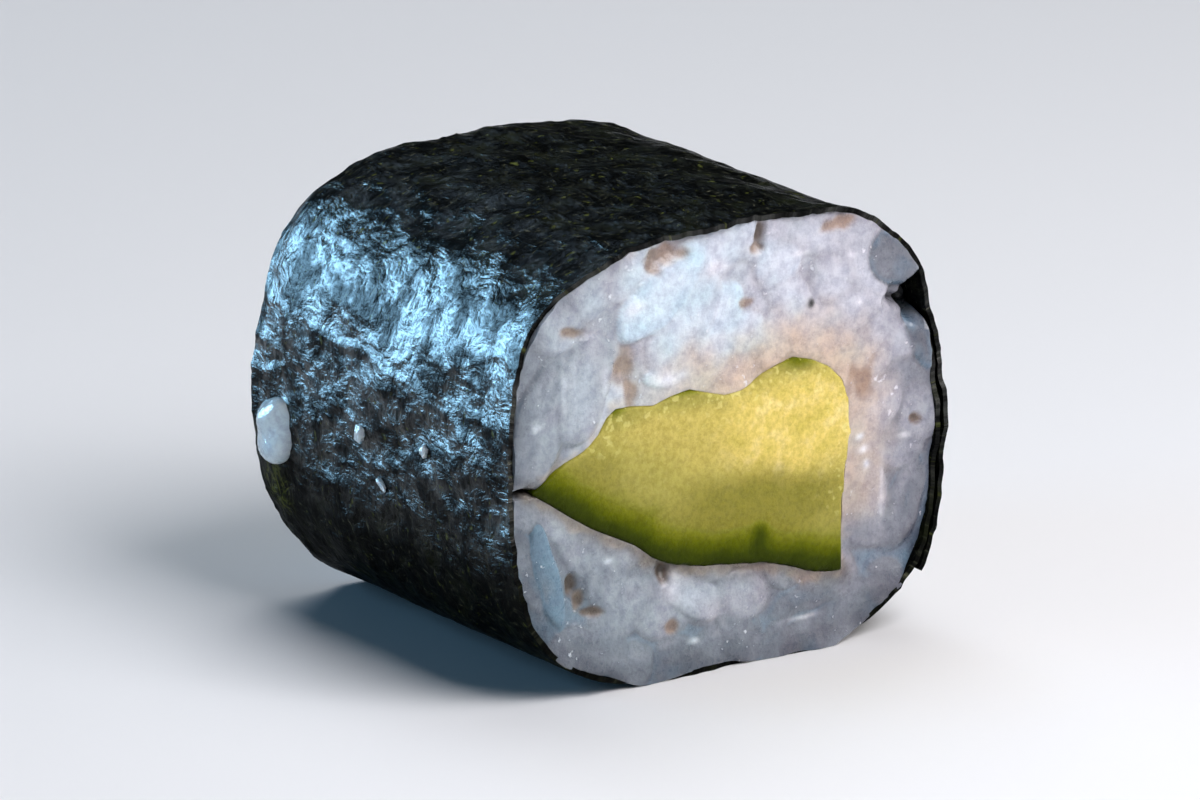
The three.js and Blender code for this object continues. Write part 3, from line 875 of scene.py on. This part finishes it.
def riceFace(end, random):  # one cut face, from the cucumber out to the nori's edge
    marked = markedGrains if end < 0 else []
    grains = layGrains(random, marked)
    angle = columnAngles
    depth = nori["thickness"] + rice["sideGap"] - noriRelief(angle, end * faceAt + 0 * angle)
    rim = wrapPlace(angle, depth, 0)[:, [0, 2]]
    centre = np.array([0, -1.0])  # inside the wedge
    outward = rim - centre
    reach = np.linalg.norm(outward, axis=1)
    outward = outward / reach[:, None]
    inner = rayToWedge(centre, np.arctan2(outward[:, 1], outward[:, 0])) - 0.02  # just inside it too
    share = np.linspace(0, 1, rice["rings"] + 1)
    away = inner[:, None] + (reach - inner)[:, None] * share
    flat = centre + outward[:, None, :] * away[..., None]
    x, z = flat[..., 0], flat[..., 1]

    spot = np.stack([x, 0 * x + end * 3, z], axis=-1)  # where each point reads the noise
    bentX = x + rice["bend"] * lumps(spot, rice["bendSize"], 26)
    bentZ = z + rice["bend"] * lumps(spot, rice["bendSize"], 27)
    height, seam, glassy, chalk = grainField(bentX, bentZ, grains, random)
    limit = rice["cutLimit"]
    height = np.where(height > 0, limit * (1 - np.exp(-np.maximum(height, 0) / limit)), height)
    sunk = smoothStep(-height, *rice["gapDepths"])
    brown, dark = 0 * x, 0 * x
    wander = [rice["wander"] * lumps(spot, rice["wanderSize"], seed) for seed in (24, 25)]
    for pitX, pitZ, reachX, reachZ, pitDepth, black in pits if end < 0 else []:
        offX, offZ = (x - pitX) / reachX + wander[0], (z - pitZ) / reachZ + wander[1]
        dip = np.exp(-((offX**2 + offZ**2) ** 1.5))
        brown = np.maximum(brown, rice["pitBrown"] * smoothStep(dip, 0, 0.9) * (black < 1))
        dark = np.maximum(dark, dip * black)
        height = height - pitDepth * dip
    # A painted shadow in the rice just under the cucumber's skin, brown and dark.
    shadowReach, shadowBrown, shadowDark = rice["skinShadow"]
    underSkin = np.exp(-((distanceToLine(flat, skinLine) / shadowReach) ** 2))
    brown = np.maximum(brown, shadowBrown * underSkin)
    dark = np.maximum(dark, shadowDark * underSkin)
    # Starch spots, some of them painted glints, and spots of painted shade.
    starchAndPaintedLight, shade = (spotted(x, z, wander, spots if end < 0 else []) for spots in (starchAndGlintSpots, shadeAndGlassySpots))
    height = height + layered(spot, rice["relief"])

    fromRim = reach[:, None] - away
    sheetEnd = raggedEnd(angle, end)[:, None]
    below = smoothStep(-np.sin(angle), 0.45, 0.75) * smoothStep(np.abs(np.cos(angle)), 0, 0.125)
    rimSpot = np.stack([rim[:, 0], 0 * angle + end * 5, rim[:, 1]], axis=-1)
    swell = (below * np.clip(0.5 + layered(rimSpot, rice["overhangPatches"]), 0, 1))[:, None]
    near = smoothStep(rice["overhangReach"] - fromRim, 0, rice["overhangReach"])
    height = height + np.maximum(0, sheetEnd + rice["overhangRise"] - height) * near * swell
    push = rice["overhang"] * swell * near**2
    pushedX = x + push * outward[:, None, 0]
    pushedZ = np.maximum(z + push * outward[:, None, 1], restLevel + 0.02)  # clear of the floor
    face = np.stack([pushedX, end * (faceAt + height), pushedZ], axis=-1)

    turnIn = rice["turnIn"]
    swell = swell[:, 0]
    lipY = faceAt + np.minimum(height[:, -1] - turnIn["behind"], sheetEnd[:, 0] + turnIn["past"])
    lipDepth = depth - turnIn["overhang"] * rice["overhang"] * swell
    lip = wrapPlace(angle, lipDepth, end * (lipY + turnIn["swell"] * swell))
    foot = wrapPlace(angle, depth, end * (lipY - turnIn["foot"]))

    fromWedge = distanceToLine(flat, wedgeOutline) + 0.8 * wander[0]
    warmth = 0 * x
    for partX, partZ, most in rice["warmParts"]:
        warmth = np.maximum(warmth, most * smoothStep(x, *partX) * smoothStep(z, *partZ))
    warmth = warmth * (1 - smoothStep(fromWedge, *rice["warmReach"]))
    edgeWarmth, edgeReach = rice["warmEdge"]
    warmth = np.maximum(warmth, edgeWarmth * (1 - smoothStep(fromWedge, 0, edgeReach)))
    rosyX, rosyZ = rice["rosyPerMm"]
    rosy = 0.5 + rosyX * x + rosyZ * z + layered(spot, rice["rosyPatches"])
    sideShade, lowShade = rice["rimShade"]
    low = smoothStep(-np.sin(angle), -0.2, 0.5) - smoothStep(np.sin(angle), 0.7, 0.95)  # -1 at the top
    rimShade = (sideShade + lowShade * low)[:, None] * np.exp(-((fromRim / rice["rimShadeReach"]) ** 2))
    rimShade = rimShade * (1 + layered(spot, rice["shadePatches"]))
    values = {"glassy": glassy, "chalk": chalk, "warmth": warmth, "starchAndPaintedLight": starchAndPaintedLight, "brown": brown}
    values["dark"] = dark
    # Painted shade in the seams that sink between grains.
    values["gap"] = 0.5 * seam * sunk
    values["rosy"] = np.clip(rosy, 0, 1)
    values["shade"] = np.clip(np.maximum(shade, rimShade), 0, 1)
    return face, lip, foot, values


def looseBit(stray):  # a grain or crumb of rice, as points and faces
    wholeGrain = stray["size"][0] > 2
    lumpy, lumpSize = (0.25, 0.9) if wholeGrain else (0.5, 0.7)  # crumbs are more uneven
    ball = bmesh.new()
    bmesh.ops.create_icosphere(ball, subdivisions=4 if wholeGrain else 3, radius=1)
    unit = np.array([vertex.co[:] for vertex in ball.verts])
    faces = [[vertex.index for vertex in face.verts] for face in ball.faces]
    ball.free()
    angle, y = np.array(math.radians(stray["angle"])), np.array(stray["y"])
    centre = wrapPlace(angle, -noriRelief(angle, y) - stray["out"], y)
    turn = math.radians(stray["points"])
    outwards = np.array([math.cos(angle), 0, math.sin(angle)])
    upwards = np.array([-outwards[2], 0, outwards[0]])
    lengthwise = np.array([0, math.cos(turn), 0]) + math.sin(turn) * upwards
    halfLength, halfWidth = (size / 2 for size in stray["size"])
    axes = [halfLength * lengthwise, halfWidth * np.cross(outwards, lengthwise), 0.9 * halfWidth * outwards]
    unit = np.sign(unit) * np.abs(unit) ** 0.7  # boxier than a ball
    shape = unit * (1 + lumpy * lumps(unit + 5 * stray["angle"], lumpSize, 29))[:, None]
    return centre + shape @ np.array(axes), faces


def buildRice():
    random = np.random.default_rng(rice["seed"])
    front, frontLip, frontFoot, frontValues = riceFace(-1, random)
    back, backLip, backFoot, backValues = riceFace(1, random)
    wall = []
    for share in np.linspace(0, 1, rice["wallRows"] + 2)[1:-1]:
        y = frontFoot[:, 1] + (backFoot[:, 1] - frontFoot[:, 1]) * share
        wallDepth = nori["thickness"] + rice["wallGap"] - broadRelief(columnAngles, y)
        wall.append(wrapPlace(columnAngles, wallDepth, y))
    bore = []
    for share in np.linspace(0, 1, rice["boreRows"] + 2)[1:-1]:
        bore.append(back[:, 0] + (front[:, 0] - back[:, 0]) * share)
    loops = [front, frontLip[:, None], frontFoot[:, None], np.stack(wall, axis=1)]
    loops += [backFoot[:, None], backLip[:, None], back[:, ::-1], np.stack(bore, axis=1)]
    points = np.concatenate(loops, axis=1)
    packed = points[..., 0].size
    index = np.arange(packed).reshape(points.shape[:2])
    faces = quads(np.pad(index, (0, 1), mode="wrap").T)  # it closes on itself both ways
    places = [points.reshape(-1, 3)]
    for stray in strayRice:
        first = sum(len(group) for group in places)
        bit, bitFaces = looseBit(stray)
        places.append(bit)
        faces += [[first + i for i in face] for face in bitFaces]
    places = np.concatenate(places)
    piece = makePiece("ricePack", places, faces)
    faceOutwards(piece)
    piece.data.set_sharp_from_angle(angle=rice["sharpAngle"])
    between = points.shape[1] - front.shape[1] - back.shape[1] - len(bore)
    for name, values in frontValues.items():  # the sides take what their front edge has
        side = np.repeat(values[:, -1:], between, axis=1)
        inside = np.repeat(values[:, :1], len(bore), axis=1)
        together = np.concatenate([values, side, backValues[name][:, ::-1], inside], axis=1)
        strays = np.full(len(places) - packed, rice["strayPaintedLight"] if name == "starchAndPaintedLight" else 0)
        keepValues(piece, name, np.append(together.ravel(), strays))
    return piece


# Boiled short-grain rice dressed with vinegar: swollen translucent starch with a chalky heart,
# stuck into a mass, and wet enough to glitter. Light soaks in, so shaded sides stay bright.
def boiledRice():
    material, shader = newMaterial(
        "vinegaredRice",
        {
            "IOR": 1.38,
            "Subsurface Weight": 0.55,
            "Subsurface Radius": (1.0, 0.86, 0.78),
            "Subsurface Scale": 0.45 * mm,
            "Coat Weight": 0.7,
            "Coat Roughness": 0.1,
            "Coat IOR": 1.4,
        },
    )
    place = addNode(material, "TexCoord").outputs["Object"]
    read = {
        name: addNode(material, "Attribute", {"attribute_name": name}).outputs["Fac"]
        for name in ("glassy", "chalk", "warmth", "gap", "rosy", "shade", "starchAndPaintedLight", "brown", "dark")
    }
    grainTones = [
        (0, "#d6e9f3"), (0.3, "#ced2d9"), (0.5, "#bcbec5"), (0.7, "#a2a6ad"), (0.87, "#828991"),
        (1, "#7893a4"),
    ]
    colour = addNode(material, "ValToRGB", inputs={"Fac": read["glassy"]}, stops=grainTones).outputs["Color"]
    for name, size, detail, rough in (  # sizes in mm
        # Flakes of dried starch also stand in as painted glints.
        ("starchGlintFlakes", 0.35, 2, 0.5),  # of dried starch, which go down to dust that is too fine to render
        ("clusters", 3, 1, 0.5),
        ("clouds", 0.6, 4, 0.7),  # as starch lies unevenly in a grain
        ("wet", 0.35, 3, 0.6),
    ):
        pattern = {"Vector": place, "Scale": 1 / (size * mm), "Detail": detail, "Roughness": rough}
        read[name] = addNode(material, "TexNoise", inputs=pattern).outputs["Fac"]
    # Flecks of starch, some standing in as painted glints.
    starchAndGlints = addNode(
        material, "Math", {"operation": "MULTIPLY_ADD"}, {0: read["clusters"], 1: 0.4, 2: read["starchGlintFlakes"]}
    ).outputs[0]
    starchAndGlints = addNode(
        material, "MapRange", inputs={"Value": starchAndGlints, "From Min": 0.9, "From Max": 1, "To Max": 0.7}
    ).outputs["Result"]
    starchAndGlints = addNode(material, "Math", {"operation": "MAXIMUM"}, {0: starchAndGlints, 1: read["starchAndPaintedLight"]}).outputs[0]
    cloudy = addNode(
        material, "ValToRGB", inputs={"Fac": read["clouds"]}, stops=[(0.36, "#dddde4"), (0.6, "#fdfdfd")]
    ).outputs["Color"]
    tinged = addNode(
        material, "ValToRGB", inputs={"Fac": read["rosy"]}, stops=[(0, "#ebf4f5"), (1, "#f4eff2")]
    ).outputs["Color"]
    for blend, amount, layer in (
        ("MIX", read["chalk"], linear("#e6f0f7")),
        ("MIX", read["warmth"], linear("#dcc5aa")),
        # painted shade in sunk seams
        ("MIX", read["gap"], linear("#9c9296")),
        ("MIX", read["shade"], linear("#3e3f4c")),
        # starch, painted glints, and painted light on the stray bits
        ("MIX", starchAndGlints, linear("#fbfdff")),
        # brown of cracks, and painted shadow along the cucumber's skin
        ("MIX", read["brown"], linear("#a68a73")),
        # painted shade in hollows and along the skin, and the nori crumb's own black
        ("MIX", read["dark"], linear("#12160e")),
        ("MULTIPLY", 1, cloudy),
        ("MULTIPLY", 1, tinged),
    ):
        colour = addNode(
            material, "Mix", {"data_type": "RGBA", "blend_type": blend}, {0: amount, 6: colour, 7: layer}
        ).outputs[2]
    feed(material, colour, shader.inputs["Base Color"])
    wet = read["wet"]
    limits = {"From Min": 0.3, "From Max": 0.7, "To Min": 0.45, "To Max": 0.2}
    roughness = addNode(material, "MapRange", inputs={"Value": wet, **limits}).outputs["Result"]
    feed(material, roughness, shader.inputs["Roughness"])
    for distance, normal in ((0.06, "Normal"), (0.15, "Coat Normal")):  # the water on it glitters more
        bump = addNode(material, "Bump", inputs={"Height": wet, "Strength": 1, "Distance": distance * mm})
        feed(material, bump.outputs["Normal"], shader.inputs[normal])
    return material


ricePack = buildRice()
ricePack.data.materials.append(boiledRice())
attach(ricePack, "root")
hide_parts("rice")
print("rice has", len(ricePack.data.polygons), "faces")
